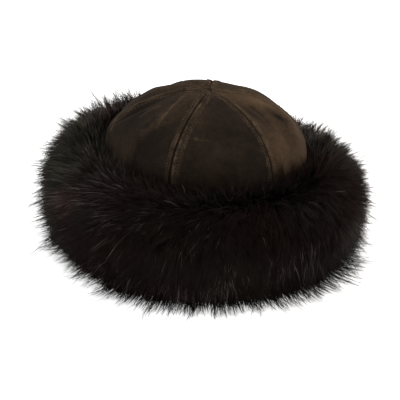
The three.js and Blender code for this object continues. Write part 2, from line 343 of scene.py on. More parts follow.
def node(tree, kind, inputs=None, stops=(), **settings):
    """Adds a node. Inputs are values, or sockets to link from, by the input's name or number, and a node
    there gives its first output. Stops are a colour ramp's places and colours."""
    made = tree.nodes.new(f"ShaderNode{kind}")
    for name, value in settings.items():
        setattr(made, name, value)
    for name, value in (inputs or {}).items():
        if isinstance(value, bpy.types.Node):
            value = value.outputs[0]
        if isinstance(value, bpy.types.NodeSocket):
            tree.links.new(value, made.inputs[name])
        else:
            made.inputs[name].default_value = value
    if stops:
        ramp = made.color_ramp.elements
        for end in (0, -1):
            ramp[end].position, ramp[end].color = stops[end]
        for place, colour in stops[1:-1]:
            ramp.new(place).color = colour
    return made


def new_material(name):
    """An empty node material and its tree."""
    made = bpy.data.materials.new(name)
    made.use_nodes = True
    made.node_tree.nodes.clear()
    return made, made.node_tree


def nubuck_suede(settings):
    """Dark brown nubuck: split cowhide buffed to a short nap. The nap scatters light, so it looks dull
    and soft, it goes lighter where it is rubbed, and it is clouded where hands have brushed it another
    way. Its seams and hollows are painted darker, as painted shade, and its lightness from gore to gore
    and patch to patch is partly painted light and shade."""
    material, tree = new_material("nubuck_suede")
    place = node(tree, "TexCoord").outputs["Object"]
    wear, nap = (
        node(tree, "Attribute", attribute_name=name).outputs["Fac"] for name in ("wear", "nap")
    )

    # Clouds, brushed marks, and nap that is coarser than the real one so that it shows: the size of each
    # in millimetres, its detail, its roughness and how far it is distorted.
    clouds, marks, grain = (
        node(
            tree,
            "TexNoise",
            {
                "Vector": place,
                "Scale": 1 / (size * MM),
                "Detail": detail,
                "Roughness": roughness,
                "Distortion": distortion,
            },
        )
        for size, detail, roughness, distortion in (
            (26, 3.0, 0.55, 0.0),
            (7, 3.0, 0.6, 0.6),
            (1.2, 2.0, 0.7, 0.0),
        )
    )
    faint_marks = node(tree, "Math", {0: marks, 1: 0.4, 2: -0.5}, operation="MULTIPLY_ADD")
    cloudy = node(tree, "Math", {0: clouds, 1: 0.6, 2: faint_marks}, operation="MULTIPLY_ADD")
    # Clouds show less where the suede is darker: where its nap is brushed down, and where it is painted in
    # shade.
    contrast = node(tree, "Math", {0: nap, 1: 0.6, 2: 0.5}, operation="MULTIPLY_ADD")
    clouded = node(tree, "Math", {0: cloudy, 1: contrast, 2: 0.07}, operation="MULTIPLY_ADD")
    # Lightness from the nap, with the painted light and shade of the gores and patches in it, and the
    # clouds.
    shade = node(tree, "Math", {0: nap, 1: 0.42, 2: clouded}, operation="MULTIPLY_ADD", use_clamp=True)
    ground = node(
        tree,
        "ValToRGB",
        {"Fac": shade},
        stops=((0.0, linear(settings.dark_colour_hex)), (1.0, linear(settings.light_colour_hex))),
    )

    # Rubbed spots are patchy, so the wear is broken up by the marks and the grain.
    grainy = node(tree, "Math", {0: grain, 1: 1.3, 2: -1.0}, operation="MULTIPLY_ADD")
    patchy = node(tree, "Math", {0: marks, 1: 1.6, 2: grainy}, operation="MULTIPLY_ADD")
    rubbed = node(tree, "Math", {0: wear, 1: patchy}, operation="MULTIPLY", use_clamp=True)
    worn = node(
        tree,
        "Mix",
        {"Factor": rubbed, "A": ground, "B": linear(settings.worn_colour_hex)},
        data_type="RGBA",
    ).outputs["Result"]
    # Below 0 the wear is painted shade: down in the seams and hollows the suede is painted nearly black.
    sunk = node(tree, "Math", {0: wear, 1: -0.85}, operation="MULTIPLY", use_clamp=True)
    deep = node(
        tree, "Mix", {"Factor": sunk, "A": worn, "B": linear(0x0C0806)}, data_type="RGBA"
    ).outputs["Result"]
    fleck = node(
        tree,
        "MapRange",
        {"Value": grain, "From Min": 0.3, "From Max": 0.7, "To Min": 0.72, "To Max": 1.3},
    )
    speckled = node(
        tree, "Mix", {"Factor": 1.0, "A": deep, "B": fleck}, data_type="RGBA", blend_type="MULTIPLY"
    ).outputs["Result"]

    height = node(tree, "Math", {0: grain, 1: marks}, operation="ADD")
    bump = node(tree, "Bump", {"Height": height, "Strength": 0.5, "Distance": 0.35 * MM})
    skin = node(
        tree,
        "BsdfPrincipled",
        {
            "Base Color": speckled,
            "Roughness": 0.95,
            "Specular IOR Level": 0.04,
            "Sheen Weight": 0.06,
            "Sheen Roughness": 0.45,
            "Sheen Tint": linear(0x8A7A6C),
            "Normal": bump,
        },
    )
    node(tree, "OutputMaterial", {"Surface": skin})
    return material


def bonded_polyester_thread(settings):
    """Bonded polyester thread, twisted from three plies. It is a little smoother than the suede, so each
    stitch catches a small light of its own."""
    material, tree = new_material("bonded_polyester_thread")
    place = node(tree, "TexCoord").outputs["Object"]
    uneven = node(tree, "TexNoise", {"Vector": place, "Scale": 1 / (5 * MM), "Detail": 2.0})
    colour = node(
        tree,
        "ValToRGB",
        {"Fac": uneven},
        stops=((0.3, linear(0x2E231B)), (0.72, linear(settings.thread_colour_hex))),
    )
    # Real plies are 1 mm wide, too fine to show here. The wave is drawn coarser, so that it gives each
    # stitch its own light.
    plies = node(
        tree,
        "TexWave",
        {"Vector": place, "Scale": 1 / (22 * MM), "Distortion": 1.0},
        bands_direction="DIAGONAL",
    ).outputs["Fac"]
    bump = node(tree, "Bump", {"Height": plies, "Strength": 0.4, "Distance": 0.08 * MM})
    thread = node(
        tree,
        "BsdfPrincipled",
        {"Base Color": colour, "Roughness": 0.55, "Specular IOR Level": 0.3, "Normal": bump},
    )
    node(tree, "OutputMaterial", {"Surface": thread})
    return material


def long_pile_fur(settings):
    """Long modacrylic fur pile. Each fibre is near black at its root and browner and thinner at its tip,
    fibres differ in tone and warmth, much of it painted light and shade, light strands are painted sheen
    and highlights, and smooth fibres lying side by side give a faint silky sheen."""
    material, tree = new_material("long_pile_fur")
    along, tone, warm = (
        node(tree, "Attribute", attribute_name=name).outputs["Fac"] for name in ("along", "tone", "warm")
    )
    root, middle, tip, light = (
        linear(getattr(settings, f"{part}_colour_hex")) for part in ("root", "middle", "tip", "light")
    )
    length = node(tree, "ValToRGB", {"Fac": along}, stops=((0.0, root), (0.6, middle), (1.0, tip)))
    # Tone lightens a fibre towards the light colour: painted light and painted highlights.
    toned = node(
        tree, "Mix", {"Factor": tone, "A": length, "B": light}, data_type="RGBA"
    ).outputs["Result"]
    cast = node(
        tree, "ValToRGB", {"Fac": warm}, stops=((0.0, GREENER), (PLAIN_WARMTH, PLAIN), (1.0, REDDER))
    )
    # A tone below 0 makes a fibre darker than its own colour: painted shade.
    dark = node(
        tree,
        "MapRange",
        {"Value": tone, "From Min": DARKEST_TONE, "From Max": 0.0, "To Min": DARKEST_SHARE},
    )
    dimmed = node(tree, "VectorMath", {"Vector": cast, "Scale": dark}, operation="SCALE")
    coloured = node(
        tree, "Mix", {"Factor": 1.0, "A": toned, "B": dimmed}, data_type="RGBA", blend_type="MULTIPLY"
    ).outputs["Result"]
    fibre = node(
        tree, "BsdfPrincipled", {"Base Color": coloured, "Roughness": 0.45, "Specular IOR Level": 0.02}
    )
    node(tree, "OutputMaterial", {"Surface": fibre})
    return material


def knitted_fur_backing():
    """Knitted backing under the pile, packed with short dark underfur. Almost no light gets down to it,
    so it reads as the black between the locks."""
    material, tree = new_material("knitted_fur_backing")
    place = node(tree, "TexCoord").outputs["Object"]
    # Tufts of the underfur are about 2.5 mm across.
    tufts = node(
        tree, "TexNoise", {"Vector": place, "Scale": 1 / (2.5 * MM), "Detail": 4.0, "Roughness": 0.65}
    )
    colour = node(
        tree, "ValToRGB", {"Fac": tufts}, stops=((0.35, linear(0x060403)), (0.75, linear(0x1A130F)))
    )
    bump = node(tree, "Bump", {"Height": tufts, "Strength": 0.9, "Distance": 1.2 * MM})
    backing = node(
        tree,
        "BsdfPrincipled",
        {"Base Color": colour, "Roughness": 1.0, "Specular IOR Level": 0.05, "Normal": bump},
    )
    node(tree, "OutputMaterial", {"Surface": backing})
    return material


def matt_opal_acrylic(colour, glow):
    """A matt opal acrylic sheet over a light box, as for pictures without a shadow: even and white, with a
    very slight cast texture."""
    material, tree = new_material("matt_opal_acrylic")
    place = node(tree, "TexCoord").outputs["Object"]
    stipple = node(tree, "TexNoise", {"Vector": place, "Scale": 1 / (3 * MM), "Detail": 2.0})
    bump = node(tree, "Bump", {"Height": stipple, "Strength": 0.02, "Distance": MM})
    board = node(
        tree,
        "BsdfPrincipled",
        {
            "Base Color": colour,
            "Roughness": 0.9,
            "Specular IOR Level": 0.1,
            "Emission Color": colour,
            "Emission Strength": glow,
            "Normal": bump,
        },
    )
    node(tree, "OutputMaterial", {"Surface": board})
    return material


# Meshes and pieces


def smooth_mesh(bm, name, places):
    """Ends a bmesh as a mesh with smooth faces that point outwards, its corners at places in
    millimetres."""
    for vert, place in zip(bm.verts, places):
        vert.co = place * MM
    bmesh.ops.recalc_face_normals(bm, faces=bm.faces)
    for face in bm.faces:
        face.smooth = True
    mesh = bpy.data.meshes.new(name)
    bm.to_mesh(mesh)
    bm.free()
    return mesh


def add_attributes(mesh, **columns):
    """Keeps a value for each corner of a mesh, for its material to read."""
    for name, values in columns.items():
        layer = mesh.attributes.new(name, "FLOAT", "POINT")
        layer.data.foreach_set("value", values.astype(np.float32))


def add_object(name, data):
    """Puts a mesh, a light or a camera into the scene."""
    made = bpy.data.objects.new(name, data)
    bpy.context.scene.collection.objects.link(made)
    return made


def add_piece(name, mesh, material, slot_name, *replaced):
    """Puts a finished mesh into the scene as a piece of the hat, in place of solids that it replaces."""
    mesh.materials.append(material)
    piece = add_object(name, mesh)
    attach(piece, BODY)
    if replaced:
        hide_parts(*replaced)


# The crown


def crown_outline(along):
    """The dome's radius, level and outward direction at places along it, and the wall's below 0."""
    turn = np.maximum(along, 0) * math.acos(POINT_RADIUS / DOME_RADIUS)
    level = np.where(
        along < 0,
        DOME_LEVEL + along * (DOME_LEVEL - RIM_LEVEL),
        DOME_LEVEL + DOME_RISE * np.sin(turn),
    )
    wall = RIM_RADIUS + (DOME_RADIUS - RIM_RADIUS) * (level - RIM_LEVEL) / (DOME_LEVEL - RIM_LEVEL)
    radius = np.where(along < 0, wall, DOME_RADIUS * np.cos(turn))
    outward = unit(np.stack([DOME_RISE * np.cos(turn), DOME_RADIUS * np.sin(turn)], axis=-1))
    outward[along < 0] = (1, 0)
    return radius, level, outward


def half_width(radius, gap):
    """Half of a gore's width at a distance from the hat's axis. At the point the gap takes up less than
    the whole gore."""
    return (GORE_ANGLE / 2 - np.arcsin(np.minimum(gap / 2 / radius, 0.45))) * radius


def band_width(width, half):
    """A seam band narrows with its gore towards the point."""
    return np.minimum(width, half * 0.62)


def bands(gore):
    """A gore's two seam bands: which side each is on, and its width."""
    return (-1, gore.left_band), (1, gore.right_band)


def to_patch(patch, along, distance, half):
    """How strongly a fold or a patch is felt: 1 at its middle, and fading along it and across it."""
    bend = math.radians(patch.turn)
    up, side = (along - patch.along) * DOME_LENGTH, distance - patch.across * half
    lengthwise = up * math.cos(bend) + side * math.sin(bend)
    sideways = side * math.cos(bend) - up * math.sin(bend)
    return bell(lengthwise / patch.length, sideways / patch.width)


def to_crease(crease, up_gore, distance, half):
    """How strongly a crease is felt: 1 on its line, and fading off it and towards its ends."""
    felt = np.zeros_like(up_gore)
    ends = [(along * DOME_LENGTH, across) for along, across in crease.places]
    for (up0, across0), (up1, across1) in zip(ends, ends[1:]):
        # Places across a gore follow its own width.
        rise, run = up1 - up0, (across1 - across0) * half
        up, side = up_gore - up0, (distance / half - across0) * half
        share = np.clip((up * rise + side * run) / (rise**2 + run**2), 0, 1)
        off = np.hypot(up - share * rise, side - share * run)
        felt = np.maximum(felt, bell(off / crease.width))
    first, last = ends[0][0], ends[-1][0]
    middle, reach = (first + last) / 2, abs(last - first) / 2 + crease.width
    return felt * (1 - smoothstep(np.abs(up_gore - middle), reach * 0.6, reach))


def suede_relief(gore, along, across, settings):
    """How far the suede stands out from the plain dome, in millimetres, its wear with painted shade, and
    its nap with painted light and shade.
    """
    radius, level, _ = crown_outline(along)
    half = half_width(radius, settings.seam_gap / MM)
    distance, up_gore = across * half, along * DOME_LENGTH
    ridge_height, groove_depth = settings.ridge_height / MM, settings.groove_depth / MM
    azimuth = distance / radius + math.radians(gore.turn)
    place = around(radius, azimuth, level)

    # The puff between the seams, the unevenness of soft suede, and the bulges of the whole crown
    lift = settings.puff / MM * np.sqrt(np.clip((1 - across**2) * (1 - along**2), 0, 1))
    uneven, fine = (roughness_at(place, size, gore.turn + seed) for size, seed in ((22, 1), (6.5, 2)))
    lift = lift + 0.55 * uneven + 0.16 * fine
    for bulge in BULGES:
        off = np.degrees(half_turn(azimuth - math.radians(bulge.azimuth)))
        lift += bulge.out * bell(off / bulge.width, (along - bulge.along) / bulge.height)

    folded, nap = np.zeros_like(along), np.full_like(along, gore.nap)
    for fold in (f for f in FOLDS if f.gore == gore.name):
        folded += fold.rise * to_patch(fold, along, distance, half)
    # Patches add nap that is brushed another way, and painted light and shade.
    for patch in (p for p in PATCHES if p.gore == gore.name):
        nap += patch.nap * to_patch(patch, along, distance, half)
    # Folds die out at the seams and at the point. Their ridges are rubbed lighter, and their hollows are
    # painted darker, as painted shade.
    edge_fade = smoothstep(half - np.abs(distance), 0, 6)
    lift += edge_fade * (1 - smoothstep(along, 0.9, 1)) * folded
    wear = 0.1 * edge_fade * folded
    # Creases are rubbed lighter on their ridges and painted darker in their hollows, as painted shade.
    for crease in (c for c in CREASES if c.gore == gore.name):
        felt = to_crease(crease, up_gore, distance, half)
        lift += crease.rise * felt
        wear += crease.wear * felt

    for side, width in bands(gore):
        from_seam = half - side * distance
        band = band_width(width, half)
        over_band = from_seam / band
        seed = gore.turn + 11 * side
        ragged = roughness_at(place, 4.5, seed) * 0.5 + roughness_at(place, 11, seed + 3) * 0.5
        # The band is flat between a soft rise beside the seam and its ragged outer edge.
        top = smoothstep(over_band, 0.0, 0.3) - smoothstep(over_band + 0.06 * ragged, 0.84, 1.16)
        # The suede dives into the seam, more loosely near the point.
        tight = (0.6 + 0.4 * roughness_at(place, 6, gore.turn + 5)) * smoothstep(radius, 2, 14)
        sunk = tight * (1 - smoothstep(from_seam, 0.05, 0.55))
        # Stitches pull a shallow groove, deepest at each stitch's ends, and pucker what is beside it.
        dimple = bell((from_seam - band * settings.stitch_row) / 0.75)
        pull = 0.5 + 0.5 * np.cos(2 * math.pi * up_gore / (settings.stitch_pitch / MM))
        pucker = bell(from_seam / 9) * roughness_at(place, 8.5, seed + 7)
        lift = lift + ridge_height * (1 + 0.25 * ragged) * top - groove_depth * sunk
        lift = lift - 0.34 * dimple * (0.6 + 0.4 * pull) + 0.28 * pucker
        # The band is rubbed, most of all on its two edges.
        edge = bell((over_band - 0.3) / 0.16) + 0.8 * bell((over_band - 0.92) / 0.1)
        rubbed = top * (0.14 + 0.3 * ragged) + edge * (0.24 + 0.5 * ragged)
        # Down in the seam and in the stitch dimples the suede is painted darker, as painted shade.
        wear = wear + rubbed - 0.55 * sunk - 0.2 * dimple
    # Where all the seams meet at the point, the suede is thick and worn.
    at_point = bell(radius / 12)
    lift += 0.5 * at_point
    wear += 0.4 * at_point

    shown = smoothstep(level, SHOWN_FROM, SHOWN_FROM + SHOWN_FADE)
    return shown * lift, np.clip(wear, -1, 1), nap


def wander_at(azimuth, along):
    """How far a place on the crown is carried round the hat, in radians."""
    turned = np.degrees(half_turn(azimuth))
    foot, point = (read(WANDERS, name, turned) for name in ("foot", "point"))
    rise = smoothstep(along, 0.25, 0.85)
    return np.radians((foot + (point - foot) * rise) * smoothstep(along, -0.2, 0.2))


def place_on_gore(gore, along, across, lift, settings):
    """Places on a gore, in millimetres, at heights over the plain dome."""
    radius, level, outward = crown_outline(along)
    azimuth = across * half_width(radius, settings.seam_gap / MM) / radius + math.radians(gore.turn)
    azimuth = azimuth + wander_at(azimuth, along)
    return around(radius + lift * outward[..., 0], azimuth, level + lift * outward[..., 1])


def gore_mesh(gore, settings):
    """One gore of suede as a closed wall, with its wear and painted shade, and its nap and painted light,
    as attributes.
    """
    rows = WALL_STEPS + DOME_STEPS
    below = np.sin(math.pi / 2 * np.arange(WALL_STEPS) / WALL_STEPS) - 1
    along_rows = np.append(below, np.arange(DOME_STEPS + 1) / DOME_STEPS)
    # Columns lie closer together near the seams, where the bands and the stitches are.
    even = np.linspace(-1, 1, ACROSS_STEPS + 1)
    across_columns = 0.72 * even + 0.28 * np.sin(math.pi / 2 * even)

    bm = bmesh.new()
    bmesh.ops.create_grid(bm, x_segments=ACROSS_STEPS, y_segments=rows, size=0.5, calc_uvs=False)
    column, row, inner = (bm.verts.layers.int.new(name) for name in ("column", "row", "inside"))
    for vert in bm.verts:
        vert[column] = round((vert.co.x + 0.5) * ACROSS_STEPS)
        vert[row] = round((vert.co.y + 0.5) * rows)
    bmesh.ops.recalc_face_normals(bm, faces=bm.faces)
    extruded = bmesh.ops.extrude_face_region(bm, geom=bm.faces[:])
    for item in extruded["geom"]:
        if isinstance(item, bmesh.types.BMVert):
            item[inner] = 1
    along = np.array([along_rows[vert[row]] for vert in bm.verts])
    across = np.array([across_columns[vert[column]] for vert in bm.verts])
    inside = np.array([vert[inner] for vert in bm.verts], bool)
    lift, wear, nap = suede_relief(gore, along, across, settings)
    lift = np.where(inside, -settings.suede_thickness / MM, lift)
    places = place_on_gore(gore, along, across, lift, settings)
    mesh = smooth_mesh(bm, f"suede_gore_{gore.name}", places)
    # The inner faces are given a wear of -0.2, which makes them a little darker.
    add_attributes(mesh, wear=np.where(inside, -0.2, wear), nap=nap)
    return mesh


def stitch_rows(settings):
    """The two ends of every stitch of the topstitching, in millimetres."""
    pitch, length = settings.stitch_pitch / MM, settings.stitch_length / MM
    # Rows start just under the dome's foot and stop 9 mm short of the point.
    along = (np.arange(int((DOME_LENGTH - 9) / pitch)) + 0.15) * pitch / DOME_LENGTH - 0.02
    starts, ends = [], []
    for gore in GORES:
        for side, width in bands(gore):
            for found, spot in ((starts, along), (ends, along + length / DOME_LENGTH)):
                half = half_width(crown_outline(spot)[0], settings.seam_gap / MM)
                across = side * (1 - band_width(width, half) * settings.stitch_row / half)
                lift = suede_relief(gore, spot, across, settings)[0]
                found.append(place_on_gore(gore, spot, across, lift + 0.12, settings))
    return np.concatenate(starts), np.concatenate(ends)


def stitch_mesh(settings):
    """All the stitches as one mesh: a small thread-shaped form, copied along every row."""
    bm = bmesh.new()
    bmesh.ops.create_uvsphere(bm, u_segments=6, v_segments=4, radius=1.0)
    bm.verts.ensure_lookup_table()
    form = np.array([vert.co[:] for vert in bm.verts])
    faces = [[vert.index for vert in face.verts] for face in bm.faces]
    bm.free()
    starts, ends = stitch_rows(settings)
    middle = (starts + ends) / 2
    length = np.linalg.norm(ends - starts, axis=1, keepdims=True)
    run = (ends - starts) / length
    out = square_to(run, middle - np.array([0, 0, DOME_LEVEL - 20]))
    side = np.cross(run, out)
    thick = settings.thread_thickness / MM / 2
    places = (
        middle[:, None]
        + form[None, :, 2:3] * run[:, None] * (length[:, None] / 2 + thick * 0.4)
        + form[None, :, 0:1] * side[:, None] * thick
        + form[None, :, 1:2] * out[:, None] * thick
    )
    # The ends of a stitch dive into the suede.
    places -= (form[None, :, 2:3] ** 2) * out[:, None] * 0.22
    all_faces = [[corner + i * len(form) for corner in face] for i in range(len(starts)) for face in faces]
    mesh = bpy.data.meshes.new("seam_topstitching")
    mesh.from_pydata((places.reshape(-1, 3) * MM).tolist(), [], all_faces)
    mesh.shade_smooth()
    return mesh


# The fur


def swell_at(azimuth, column):
    """How much the swells add up to at azimuths, in millimetres."""
    return sum(
        getattr(swell, column) * np.cos(swell.waves * (azimuth - math.radians(swell.turn)))
        for swell in SWELLS
    )


def coat_column(azimuth, name):
    """One column of the coat at azimuths."""
    return read(COATS, name, np.degrees(half_turn(azimuth)))


def spread_at(azimuth, height):
    """How far the fur spreads at azimuths and shares of its height, in millimetres."""
    near_floor = 1 - smoothstep(height, 0, FOOT_SHARE)
    near_crest = smoothstep(height, FOOT_SHARE, 2 * FOOT_SHARE)
    foot = swell_at(azimuth, "foot") + coat_column(azimuth, "foot")
    return swell_at(azimuth, "out") + near_floor * foot + near_crest * coat_column(azimuth, "crest")


def section_table(count=400, samples=4000):
    """The pile's section, a smooth curve through its places: places and downhill directions at even
    steps from the crown to the floor, and its length."""
    knots = np.array(PILE_SECTION, float)
    t = np.linspace(0, len(knots) - 1, samples)
    i = np.minimum(t.astype(int), len(knots) - 2)
    w = (t - i)[:, None]
    p0, p1 = knots[np.maximum(i - 1, 0)], knots[i]
    p2, p3 = knots[i + 1], knots[np.minimum(i + 2, len(knots) - 1)]
    v0, v1 = (p2 - p0) / 2, (p3 - p1) / 2
    curve = (2 * p1 - 2 * p2 + v0 + v1) * w**3 + (-3 * p1 + 3 * p2 - 2 * v0 - v1) * w**2 + v0 * w + p1
    run = np.append(0, np.cumsum(np.linalg.norm(np.diff(curve, axis=0), axis=1)))
    even = np.linspace(0, run[-1], count)
    spots = np.stack([np.interp(even, run, curve[:, k]) for k in (0, 1)], axis=-1)
    return spots, unit(np.gradient(spots, axis=0)), run[-1]


SECTION, SECTION_SLOPE, SECTION_LENGTH = section_table()
SECTION_STEPS = np.linspace(0, 1, len(SECTION))


def pile_at(azimuth, share, depth=0.0):
    """The pile's surface, or a depth below it: places, and the ways out of it, down it and sideways."""
    out, up = (np.interp(share, SECTION_STEPS, SECTION[:, k]) for k in (0, 1))
    run, drop = (np.interp(share, SECTION_STEPS, SECTION_SLOPE[:, k]) for k in (0, 1))
    height = up / CREST_LEVEL
    spread = np.sqrt(share) * spread_at(azimuth, height)
    level = up + height * swell_at(azimuth, "up")
    outward, downward = around(-drop, azimuth, run), around(run, azimuth, drop)
    sideways = np.stack([np.cos(azimuth), np.sin(azimuth), 0 * azimuth], axis=-1)
    place = around(CUFF_BORE + out + spread, azimuth, level) - outward * depth
    return place, outward, downward, sideways


def backing_mesh(settings):
    """The dark body under the fur: its section is spun round the axis, then it swells as the cuff does."""
    floor, bore, steps_down, steps_round = 2.0, CUFF_BORE + 0.4, 30, 180
    shares, depth = np.linspace(0.0, 1.0, steps_down), settings.root_depth / MM + 0.6
    outline = [(-p[1], max(p[2], floor)) for p in pile_at(0 * shares, shares, depth)[0]]
    crest_radius, crest = outline[0]
    inner = [(bore, crest - 4), (bore + (crest_radius - bore) * 0.5, crest - 0.5)]
    outline = inner + outline + [(bore + 20, floor), (bore, floor)]
    bm = bmesh.new()
    ring = [bm.verts.new((0, -radius, level)) for radius, level in outline]
    edges = [bm.edges.new((a, b)) for a, b in zip(ring, ring[1:] + ring[:1])]
    bmesh.ops.spin(
        bm,
        geom=ring + edges,
        cent=(0, 0, 0),
        axis=(0, 0, 1),
        angle=2 * math.pi,
        steps=steps_round,
        use_merge=True,
    )
    bmesh.ops.remove_doubles(bm, verts=bm.verts, dist=0.01)
    places = np.array([vert.co[:] for vert in bm.verts])
    radius, azimuth = polar(places)
    up = places[:, 2]
    # The bore and the floor stay plain. The rest is lumpy, as underfur is.
    free = smoothstep(radius, CUFF_BORE + 1, CUFF_BORE + 14)
    height = up / CREST_LEVEL
    lump = roughness_at(places, 9, 5) * 1.6 + roughness_at(places, 24, 6) * 1.6 - 1.0
    radius = radius + free * (spread_at(azimuth, height) + lump)
    level = up + height * swell_at(azimuth, "up") * smoothstep(up, 4, 30)
    level = level + free * smoothstep(level, 10, 40) * lump
    return smooth_mesh(bm, "fur_backing", around(radius, azimuth, np.maximum(level, floor)))


def coat_at(azimuth, share):
    """The coat at places on the pile: comb and stir in radians, the share of light strands, which are
    painted sheen and highlights, tone and tint, which carry painted light and shade, lay, and the lengths
    of guard hairs and of stray hairs."""
    column = {name: coat_column(azimuth, name) for name in COATS[0]._fields[1:]}
    low = smoothstep(share, 0.28, 0.6)
    comb, tone = (blend(column[f"{kind}_crest"], column[f"{kind}_foot"], low) for kind in ("comb", "tone"))
    # Beside the crown the fur takes the crown's tone, painted light in the hollow there.
    tone += (column["tone_crown"] - tone) * (1 - smoothstep(share, 0.08, 0.3))
    tint = column["tint"]
    # Places paint light and shade into the fur.
    for spot in FUR_PLACES:
        aside = np.degrees(half_turn(azimuth - math.radians(spot.azimuth)))
        near = bell(aside / spot.width, (share - spot.share) / spot.height)
        tone, tint = tone + spot.tone * near, tint + spot.tint * near
    # Light strands, painted sheen, thin out down the pile, and glints, painted highlights, gather in a
    # band.
    light = column["light"] * (1 - smoothstep(share, 0.4, 0.7))
    light += column["glint"] * bell((share - column["band"]) / 0.09)
    comb = np.radians((0.6 + 0.4 * smoothstep(share, 0.0, 0.25)) * comb)
    near_floor = smoothstep(share, 0.7, 0.95)
    shag = 1 + (column["shag"] - 1) * smoothstep(share, 0.05, 0.2) * (1 - near_floor)
    fringe, wisp = (shag + (column[kind] - 1) * near_floor for kind in ("fringe", "wisp"))
    # Fur lies over least beside the crown and at the floor.
    hanging = smoothstep(share, 0.42, 0.6)
    lay = blend(column["lay_crest"], column["lay_foot"], hanging)
    lay = 1 + (lay - 1) * smoothstep(share, -0.02, 0.18) * (1 - smoothstep(share, 0.82, 0.95))
    stir = np.radians(8 + (column["stir"] - 8) * (1 - hanging))
    return comb, stir, light, tone, tint, lay, fringe, wisp


def strand_paths(azimuth, share, sweep, root_lean, tip_lean, length, depth, steps):
    """The paths of strands that rise from the pile and bend over along the way they are combed."""
    root, outward, downward, sideways = pile_at(azimuth, share, depth)
    along = steps[None, :, None]
    lean0, bend = root_lean[:, None, None], np.maximum(tip_lean - root_lean, 0.02)[:, None, None]
    lean = lean0 + bend * along
    rise = (np.sin(lean) - np.sin(lean0)) / bend
    run = (np.cos(lean0) - np.cos(lean)) / bend
    flow = np.cos(sweep)[:, None] * downward + np.sin(sweep)[:, None] * sideways
    reach = length[:, None, None]
    return root[:, None] + reach * (rise * outward[:, None] + run * flow[:, None])


def crown_clearance(level):
    """The nearest that fur may come to the hat's axis at levels, so that it lies on the suede."""
    on_dome = np.clip((level - DOME_LEVEL) / (DOME_RISE + 3), 0, 1)
    return (DOME_RADIUS + 2.2) * np.sqrt(1 - on_dome**2) + 0.3


def keep_clear(paths, steps):
    """Holds the strands off the crown and within reach, and lets them splay over the floor."""
    radius, azimuth = polar(paths)
    level = paths[..., 2]
    floor, soft, splay = 0.5 + 0.8 * steps[None, :], 1.6, 0.2
    settled = floor + soft * np.logaddexp(0, (level - floor) / soft)
    radius = np.maximum(radius + splay * (settled - level), crown_clearance(settled))
    # The reach is a little longer towards the corners of the hat's box.
    held_from = FUR_REACH / (np.sin(azimuth) ** 8 + np.cos(azimuth) ** 8) ** 0.125
    beyond = np.maximum(radius - held_from, 0)
    radius = np.minimum(radius, held_from) + FUR_GIVE * (1 - np.exp(-beyond / FUR_GIVE))
    return around(radius, azimuth, settled)


# The kinds of strand. Counts are for the whole cuff, lengths and widths are in millimetres, and steps are
# where each is bent. Pull is how far a tip is drawn to its tuft's. Spread is how far strands stray in
# degrees, and lean is added to how the fur stands. Low is below 1 for loose hairs: the lower it is, the
# more of them grow near the floor.
STRANDS = table(
    "Strand",
    "name count length width steps pull spread lean low",
    ("underfur", 36000, 11.5, 0.7, (0.0, 0.4, 0.75, 1.0), 0.5, 16, 6, 1.0),
    ("guard", 104000, 20.5, 0.34, (0.0, 0.35, 0.7, 1.0), 0.62, 15, 0, 1.0),
    ("stray", 9500, 27.0, 0.38, (0.0, 0.3, 0.58, 0.82, 1.0), 0.0, 17, -3, 0.75),
    ("fringe", 6000, 27.0, 0.44, (0.0, 0.35, 0.7, 1.0), 0.2, 12, -2, 0.1),
)


def tufts(settings, random):
    """The tufts that the strands gather in: where each is, and how it differs from its neighbours."""
    size = settings.tuft_size / MM
    columns = int(2 * math.pi * PILE_RADIUS / size)
    rows = int(SECTION_LENGTH / size)
    column, row = np.meshgrid(np.arange(columns), np.arange(rows))
    stray = random.uniform(-0.45, 0.45, (2, *column.shape))
    azimuth = (column + 0.5 * (row % 2) + stray[0]) / columns * 2 * math.pi
    share = np.clip((row + 0.5 + stray[1]) / rows, 0.0, 1.0)
    return azimuth, share, random.normal(0, 1, (5, *column.shape))


def nearest_tuft(azimuth, share, tuft_azimuth, tuft_share):
    """The number of the tuft that each root lies nearest to."""
    rows, columns = tuft_azimuth.shape
    row = np.clip((share * rows).astype(int), 0, rows - 1)
    best, chosen = np.full(len(azimuth), np.inf), np.zeros(len(azimuth), int)
    for row_step in (-1, 0, 1):
        near_row = np.clip(row + row_step, 0, rows - 1)
        column = np.floor(azimuth / (2 * math.pi) * columns - 0.5 * (near_row % 2)).astype(int)
        for column_step in (-1, 0, 1):
            near_column = (column + column_step) % columns
            off = half_turn(tuft_azimuth[near_row, near_column] - azimuth)
            drop = (tuft_share[near_row, near_column] - share) * SECTION_LENGTH
            distance = np.hypot(off * PILE_RADIUS, drop)
            closer = distance < best
            best = np.where(closer, distance, best)
            chosen = np.where(closer, near_row * columns + near_column, chosen)
    return chosen


